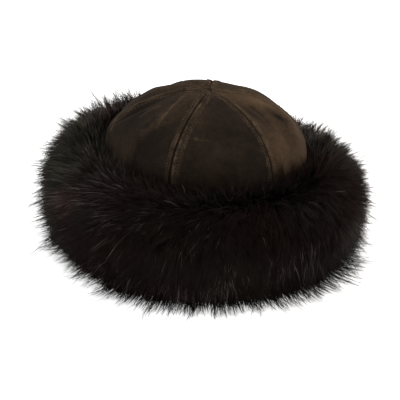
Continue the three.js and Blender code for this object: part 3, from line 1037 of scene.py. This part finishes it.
def grow(kind, middle_azimuth, tuft_set, settings, random):
    """Strands of one kind on one sector: their paths, widths, tones and warmths, which carry painted light
    and shade, and how far each ribbon is twisted."""
    tuft_azimuth, tuft_share, unlike = tuft_set
    count, loose = kind.count // len(GORES), kind.low < 1
    azimuth = middle_azimuth + random.uniform(-GORE_ANGLE / 2, GORE_ANGLE / 2, count)
    azimuth %= 2 * math.pi
    # Even cover: more roots where the section lies further from the axis.
    cover = np.cumsum(CUFF_BORE + SECTION[:, 0])
    share = np.interp(random.uniform(0, 1, count) ** kind.low, cover / cover[-1], SECTION_STEPS)

    chosen = nearest_tuft(azimuth, share, tuft_azimuth, tuft_share)
    own_azimuth, own_share = tuft_azimuth.ravel()[chosen], tuft_share.ravel()[chosen]
    sweep_off, lean_off, length_off, tone_off, pull_off = (row.ravel()[chosen] for row in unlike)

    place = pile_at(azimuth, share)[0]
    lock, drift, wide = (roughness_at(place, size, seed) for size, seed in ((15, 21), (34, 3), (70, 4)))
    sweep, stir, light_share, coat_tone_and_light, tint, lay, fringe, wisp = coat_at(azimuth, share)
    sweep = sweep + np.radians(14 * drift + 8 * wide) + stir * sweep_off
    root_lean, tip_lean = (np.radians(read(STANDS, name, share)) * lay for name in ("root", "tip"))
    # Beside the crown the fur stands evenly, and has no loose hairs over the suede.
    from_crown = smoothstep(share, -0.05, 0.25)
    lean = np.radians((kind.lean + 8 * lean_off + 4 * drift) * from_crown)
    if loose:
        fringe = wisp * smoothstep(share, -0.05, 0.2)
    length = kind.length * read(STANDS, "length", share) * fringe * (1 + 0.2 * lock)
    length *= 0.9 + 0.06 * length_off + 0.1 * np.maximum(length_off, 0) ** 2
    own_length = 0.55 + 0.85 * random.uniform(0, 1, count) ** 1.4
    if loose:
        own_length = 0.5 + 0.95 * random.uniform(0, 1, count) ** 2
    spread = np.radians(kind.spread) * random.normal(0, 1, (2, count))
    spread[1] = spread[1] * from_crown

    steps, depth = np.array(kind.steps), settings.root_depth / MM
    paths = strand_paths(
        azimuth,
        share,
        sweep + spread[0],
        np.clip(root_lean + 0.5 * lean + 0.5 * spread[1], 0.05, 1.3),
        np.clip(tip_lean + lean + spread[1], 0.15, 1.62),
        length * own_length,
        depth,
        steps,
    )
    # Each tuft has a guide at its middle, and draws its strands' tips to it.
    guides = strand_paths(
        own_azimuth,
        own_share,
        sweep,
        np.clip(root_lean + 0.5 * lean, 0.05, 1.3),
        np.clip(tip_lean + lean, 0.15, 1.55),
        length,
        depth,
        steps,
    )
    pull = np.clip(kind.pull * (1 + 0.18 * pull_off), 0, 0.95)[:, None, None]
    paths = paths + (guides - paths) * pull * (steps[None, :, None] ** 1.6)
    curl = random.normal(0, 1, (count, 1, 3)) * np.array([1.0, 1.0, 0.7]) * length[:, None, None] * 0.07
    paths = keep_clear(paths + curl * (steps[None, :, None] ** 2), steps)

    # The fur is painted warmer at the back, where it meets the crown: painted light shining through it from
    # behind.
    backlit_inner_back = (1 - smoothstep(share, 0.1, 0.3)) * smoothstep(-np.cos(azimuth), 0, 0.6)
    warm = 0.4 + tint + 0.5 * roughness_at(place, 46, 9) + 0.4 * backlit_inner_back
    # The coat's tone, mostly painted light and shade, varies from strand to strand.
    unevenness = 0.3 * tone_off + 0.4 * wide + 0.5 * lock + 0.4 * random.normal(0, 1, count)
    tone = coat_tone_and_light * (1 + unevenness)
    # Light strands are painted sheen and highlights. They come in patches, and keep more of their own
    # colour.
    patchy = 0.2 + 1.3 * smoothstep(roughness_at(place, 17, 12), -0.25, 0.45)
    light = random.uniform(0, 1, count) < light_share * patchy
    tone += light * random.uniform(0.2, 0.9, count) ** 1.4
    warm = np.where(light, blend(PLAIN_WARMTH, warm, 0.5), warm)
    twist = np.radians(32) * random.normal(0, 1, count)
    width = kind.width * np.clip(random.normal(1, 0.2, count), 0.5, 1.6)
    tone, warm = np.clip(tone, DARKEST_TONE, 1), np.clip(warm, 0, 1)
    return paths, width, tone, warm, np.clip(twist, -1.1, 1.1), steps


def ribbons(paths, width, twist):
    """Turns strand paths into flat tapering ribbons that face out of the fur: places and normals."""
    count, points, _ = paths.shape
    run = unit(np.gradient(paths, axis=1))
    centre = paths.mean(axis=1)
    radius, azimuth = polar(centre)
    facing = square_to(run, around(radius - (CUFF_BORE + 2), azimuth, centre[:, 2] - 30)[:, None])
    side = np.cross(run, facing)
    turned = np.cos(twist)[:, None, None] * side + np.sin(twist)[:, None, None] * facing
    taper = np.interp(np.linspace(0, 1, points), (0, 0.45, 1), (0.75, 1.0, 0.42))[None, :-1, None]
    half = width[:, None, None] / 2 * taper * turned[:, :-1]
    pairs = np.stack([paths[:, :-1] - half, paths[:, :-1] + half], axis=2).reshape(count, -1, 3)
    places = np.concatenate([pairs, paths[:, -1:]], axis=1)
    # Light falls on the pile as on one soft surface, so each ribbon's normals lean to the way out of it.
    own = np.cross(turned, run)
    own *= np.sign(np.sum(own * facing, axis=2, keepdims=True))
    out = unit(around(radius - (CUFF_BORE + 4), azimuth, centre[:, 2] - 40))
    soft = unit(0.85 * out[:, None] + 0.15 * own)
    normals = np.concatenate([np.repeat(soft[:, :-1], 2, axis=1), soft[:, -1:]], axis=1)
    return places.reshape(-1, 3), normals.reshape(-1, 3)


def fur_mesh(name, sets):
    """A mesh of ribbons from several sets of strands, with its strands' values as attributes and a UV
    cell for each strand, in which its colours can be kept."""
    places, normals, quads, tips, tones, warms, alongs, cells = kept = [[] for _ in range(8)]
    start = strand_start = 0
    for paths, width, tone, warm, twist, steps in sets:
        count, points = paths.shape[:2]
        corners = 2 * (points - 1) + 1
        first = start + corners * np.arange(count)[:, None]
        along = np.append(np.repeat(steps[:-1], 2), 1.0)
        sides = np.append(np.tile([0.25, 0.75], points - 1), 0.5)
        strand = strand_start + np.repeat(np.arange(count), corners)
        spots, facings = ribbons(paths, width, twist)
        places.append(spots)
        normals.append(facings)
        quads.extend(first + [[2 * k, 2 * k + 1, 2 * k + 3, 2 * k + 2]] for k in range(points - 2))
        tips.append(first + [[corners - 3, corners - 2, corners - 1]])
        # Tone is laid mostly on the middle and outer part of a strand, so that a light strand's painted
        # highlight is a band along it.
        tones.append(np.outer(tone, np.interp(along, (0.3, 0.7, 1), (0.1, 1.0, 0.8))).ravel())
        warms.append(np.repeat(warm, corners))
        alongs.append(np.tile(along, count))
        cells.append(np.stack([strand, np.tile(sides, count)], axis=-1))
        start += corners * count
        strand_start += count
    places, normals, quads, tips, tones, warms, alongs, cells = (np.concatenate(part) for part in kept)
    loops = np.concatenate([quads.ravel(), tips.ravel()]).astype(np.int32)
    sizes = np.concatenate([np.full(len(quads), 4), np.full(len(tips), 3)])

    mesh = bpy.data.meshes.new(name)
    mesh.vertices.add(len(places))
    mesh.vertices.foreach_set("co", (places * MM).ravel().astype(np.float32))
    mesh.loops.add(len(loops))
    mesh.loops.foreach_set("vertex_index", loops)
    mesh.polygons.add(len(sizes))
    starts = np.append(0, np.cumsum(sizes)[:-1]).astype(np.int32)
    mesh.polygons.foreach_set("loop_start", starts)
    add_attributes(mesh, along=alongs, tone=tones, warm=warms)
    strand, across = cells.T
    grid = math.ceil(math.sqrt(strand_start))
    flat = np.stack([(strand % grid + across) / grid, (strand // grid + 0.1 + 0.8 * alongs) / grid])
    unwrapped = mesh.uv_layers.new(name="OFBake")
    unwrapped.data.foreach_set("uv", flat.T[loops].ravel().astype(np.float32))
    mesh.update(calc_edges=True)
    mesh.validate()
    mesh.shade_smooth()
    mesh.normals_split_custom_set_from_vertices(normals)
    return mesh


# The sizes and colours that a user would change


def length_property(name, description, default):
    """A length in millimetres, kept in metres."""
    return bpy.props.FloatProperty(
        name=name, description=description, default=default * MM, min=0.0, subtype="DISTANCE",
        unit="LENGTH", precision=5,
    )


def colour_property(name, of_what, default):
    """A colour, kept as an sRGB hex value."""
    description = f"Colour of {of_what}, as an sRGB hex value"
    return bpy.props.IntProperty(name=name, description=description, default=default)


def strength_property(name, description, default):
    """A share or a strength that isn't below 0."""
    return bpy.props.FloatProperty(name=name, description=description, default=default, min=0.0)


class ToqueCrownSettings(bpy.types.PropertyGroup):
    suede_thickness: length_property("Suede thickness", "Thickness of the suede wall", 1.8)
    seam_gap: length_property("Seam gap", "Gap between two gores at their seam", 0.14)
    puff: length_property("Puff", "How far each gore bulges between its seams", 1.3)
    ridge_height: length_property("Band height", "How far the double suede beside a seam stands up", 0.95)
    groove_depth: length_property("Seam depth", "How deep the suede dives into each seam", 0.85)
    stitch_pitch: length_property("Stitch pitch", "Distance from one stitch to the next", 3.5)
    stitch_length: length_property("Stitch length", "Visible length of one stitch", 2.6)
    thread_thickness: length_property("Thread thickness", "Diameter of the sewing thread", 0.5)
    stitch_row: bpy.props.FloatProperty(
        name="Stitch row", description="Where the stitches lie on their band, from its seam",
        default=0.74, min=0.0, max=1.0, subtype="FACTOR",
    )
    # Between the dark and the light suede lie the nap's own lightness and the painted light and shade of
    # the gores and patches.
    dark_colour_hex: colour_property("Dark suede", "brushed-down nap", 0x18130F)
    light_colour_hex: colour_property("Light suede", "raised nap", 0x4E3D2C)
    worn_colour_hex: colour_property("Worn suede", "rubbed edges", 0x64523F)
    thread_colour_hex: colour_property("Thread", "the thread where it is lightest", 0x453829)


class ToqueFurSettings(bpy.types.PropertyGroup):
    root_depth: length_property("Root depth", "How deep under the cuff's outline the fur is rooted", 5.0)
    tuft_size: length_property("Tuft size", "Width of the tufts that strands gather in", 3.1)
    seed: bpy.props.IntProperty(name="Seed", description="Start of the fur's random numbers", default=7)
    root_colour_hex: colour_property("Root", "the fibres at their roots", 0x0F0B0A)
    middle_colour_hex: colour_property("Middle", "the fibres half way", 0x100B0A)
    tip_colour_hex: colour_property("Tip", "the fibres at their tips", 0x130E0C)
    # The light strands' colour is that of painted sheen and highlights, and of painted light on the coat.
    light_colour_hex: colour_property("Light strands", "the few light fibres", 0x605855)


class ToqueStageSettings(bpy.types.PropertyGroup):
    floor_size: length_property("Floor size", "Width of the floor", 9000.0)
    floor_colour: bpy.props.FloatVectorProperty(
        name="Floor", description="Colour of the floor", default=(0.93, 0.93, 0.93, 1.0), size=4,
        min=0.0, max=1.0, subtype="COLOR",
    )
    floor_glow: strength_property("Floor glow", "How brightly the floor is lit from below", 0.6)
    world_strength: strength_property("Fill light", "Strength of the even light from all sides", 0.8)


class TOQUE_OT_gores(bpy.types.Operator):
    """Makes the six suede gores of the crown"""

    bl_idname = "toque.gores"
    bl_label = "Suede gores"

    def execute(self, context):
        settings = context.scene.toque_crown
        suede = nubuck_suede(settings)
        for gore in GORES:
            mesh = gore_mesh(gore, settings)
            add_piece(f"suede_gore_{gore.name}", mesh, suede, "suede", f"crown_gore_{gore.name}")
        return {"FINISHED"}


class TOQUE_OT_topstitching(bpy.types.Operator):
    """Makes the rows of stitches beside the crown's seams"""

    bl_idname = "toque.topstitching"
    bl_label = "Topstitching"

    def execute(self, context):
        settings = context.scene.toque_crown
        thread = bonded_polyester_thread(settings)
        add_piece("seam_topstitching", stitch_mesh(settings), thread, "suede")
        return {"FINISHED"}


class TOQUE_OT_fur(bpy.types.Operator):
    """Makes the fur cuff: a dark backing and strands in tufts"""

    bl_idname = "toque.fur"
    bl_label = "Fur cuff"

    def execute(self, context):
        settings = context.scene.toque_fur
        add_piece("fur_backing", backing_mesh(settings), knitted_fur_backing(), "fur", "fur_cuff")
        pile = long_pile_fur(settings)
        tuft_set = tufts(settings, np.random.default_rng(settings.seed))
        for i, gore in enumerate(GORES):
            random = np.random.default_rng(settings.seed + 1 + i)
            turn = math.radians(gore.turn)
            mesh = fur_mesh(
                f"fur_{gore.name}", [grow(kind, turn, tuft_set, settings, random) for kind in STRANDS]
            )
            add_piece(mesh.name, mesh, pile, "fur", "fur_cuff")
        return {"FINISHED"}


class TOQUE_OT_stage(bpy.types.Operator):
    """Makes the floor, the lights and the camera"""

    bl_idname = "toque.stage"
    bl_label = "Stage"

    def execute(self, context):
        settings = context.scene.toque_stage
        add_floor(settings)
        for light in LIGHTS:
            add_light(light)
        add_world(settings)
        add_camera()
        context.scene.view_settings.view_transform = "Standard"
        return {"FINISHED"}


# Soft area lights: from which azimuth and height in degrees, how far off and how wide in metres, and how
# many watts.
LIGHTS = table(
    "Light",
    "name azimuth height distance size watts colour",
    ("ceiling_softbox", 150, 82, 1.7, 3.0, 8, 0xFFFFFF),
    ("right_softbox", 80, 38, 1.5, 0.7, 12, 0xFFF8F0),
    ("left_softbox", -100, 26, 1.6, 0.7, 9, 0xFFFFFF),
)
LIGHTS_AIM = 70.0

# The camera stands where the photograph's did: its height, azimuth and roll in degrees, its distance in
# metres from a place on the axis at AIM_LEVEL, and how far its picture is shifted to the right and up, in
# the photograph's pixels.
CAMERA_HEIGHT, CAMERA_AZIMUTH, CAMERA_ROLL, CAMERA_DISTANCE = 22, -10, 2.8, 1.4
AIM_LEVEL, AIM_RIGHT, AIM_UP, PIXELS_PER_MM = 80, 4.8, 38, 1.04
SENSOR_WIDTH, LENS = 36, 131.0


def add_floor(settings):
    """A plain pale floor."""
    bm = bmesh.new()
    bmesh.ops.create_grid(bm, x_segments=8, y_segments=8, size=settings.floor_size / 2)
    mesh = bpy.data.meshes.new("studio_floor")
    bm.to_mesh(mesh)
    bm.free()
    mesh.materials.append(matt_opal_acrylic(tuple(settings.floor_colour), settings.floor_glow))
    add_object("studio_floor", mesh)


def add_light(light):
    """One softbox, turned to the hat."""
    azimuth, height = math.radians(light.azimuth), math.radians(light.height)
    flat = light.distance * math.cos(height)
    place = Vector(around(flat, azimuth, light.distance * math.sin(height)).tolist())
    data = bpy.data.lights.new(light.name, "AREA")
    data.shape = "DISK"
    data.size = light.size
    data.energy = light.watts
    data.color = linear(light.colour)[:3]
    lamp = add_object(light.name, data)
    lamp.location = place
    lamp.rotation_euler = (Vector((0, 0, LIGHTS_AIM * MM)) - place).to_track_quat("-Z", "Y").to_euler()


def add_world(settings):
    """Even pale light from all sides. The camera sees it as a white studio wall."""
    world = bpy.data.worlds.new("studio_walls")
    world.use_nodes = True
    tree = world.node_tree
    tree.nodes.clear()
    seen = node(tree, "LightPath").outputs["Is Camera Ray"]
    fill, wall = (
        node(tree, "Background", {"Color": (1, 1, 1, 1), "Strength": strength})
        for strength in (settings.world_strength, 1.0)
    )
    mixed = node(tree, "MixShader", {0: seen, 1: fill, 2: wall})
    node(tree, "OutputWorld", {"Surface": mixed})
    bpy.context.scene.world = world


def add_camera():
    """The camera at the photograph's angle."""
    data = bpy.data.cameras.new("camera")
    data.sensor_width = SENSOR_WIDTH
    data.lens = LENS
    camera = add_object("camera", data)
    height, azimuth = math.radians(CAMERA_HEIGHT), math.radians(CAMERA_AZIMUTH)
    flat, pixel = math.cos(height), MM / PIXELS_PER_MM
    away = Vector((flat * math.sin(azimuth), -flat * math.cos(azimuth), math.sin(height)))
    middle = Vector((0, 0, AIM_LEVEL * MM))
    place = middle + away * CAMERA_DISTANCE
    right = Vector((math.cos(azimuth), math.sin(azimuth), 0))
    target = middle - right * (AIM_RIGHT * pixel) - right.cross(-away) * (AIM_UP * pixel)
    turned = (target - place).to_track_quat("-Z", "Y").to_matrix()
    turned = turned @ Matrix.Rotation(math.radians(CAMERA_ROLL), 3, "Z")
    camera.matrix_world = Matrix.Translation(place) @ turned.to_4x4()
    bpy.context.scene.camera = camera


class TOQUE_PT_panel(bpy.types.Panel):
    """Lists the hat's sizes, colours and the steps that make it"""

    bl_label = "Toque"
    bl_idname = "TOQUE_PT_panel"
    bl_space_type = "VIEW_3D"
    bl_region_type = "UI"
    bl_category = "Toque"

    def draw(self, context):
        for operator, settings in PANEL_ROWS:
            box = self.layout.box()
            box.operator(operator)
            if settings:
                group = getattr(context.scene, settings)
                for name in group.__annotations__:
                    box.prop(group, name)


PANEL_ROWS = (
    ("toque.gores", "toque_crown"),
    ("toque.topstitching", ""),
    ("toque.fur", "toque_fur"),
    ("toque.stage", "toque_stage"),
)
GROUPS = {
    "toque_crown": ToqueCrownSettings,
    "toque_fur": ToqueFurSettings,
    "toque_stage": ToqueStageSettings,
}
CLASSES = (
    *GROUPS.values(),
    TOQUE_OT_gores,
    TOQUE_OT_topstitching,
    TOQUE_OT_fur,
    TOQUE_OT_stage,
    TOQUE_PT_panel,
)


def register():
    for cls in CLASSES:
        bpy.utils.register_class(cls)
    for name, group in GROUPS.items():
        setattr(bpy.types.Scene, name, bpy.props.PointerProperty(type=group))


def unregister():
    for name in GROUPS:
        delattr(bpy.types.Scene, name)
    for cls in reversed(CLASSES):
        bpy.utils.unregister_class(cls)


def main():
    register()
    bpy.ops.toque.gores()
    bpy.ops.toque.topstitching()
    bpy.ops.toque.fur()
    bpy.ops.toque.stage()


if __name__ == "__main__":
    main()
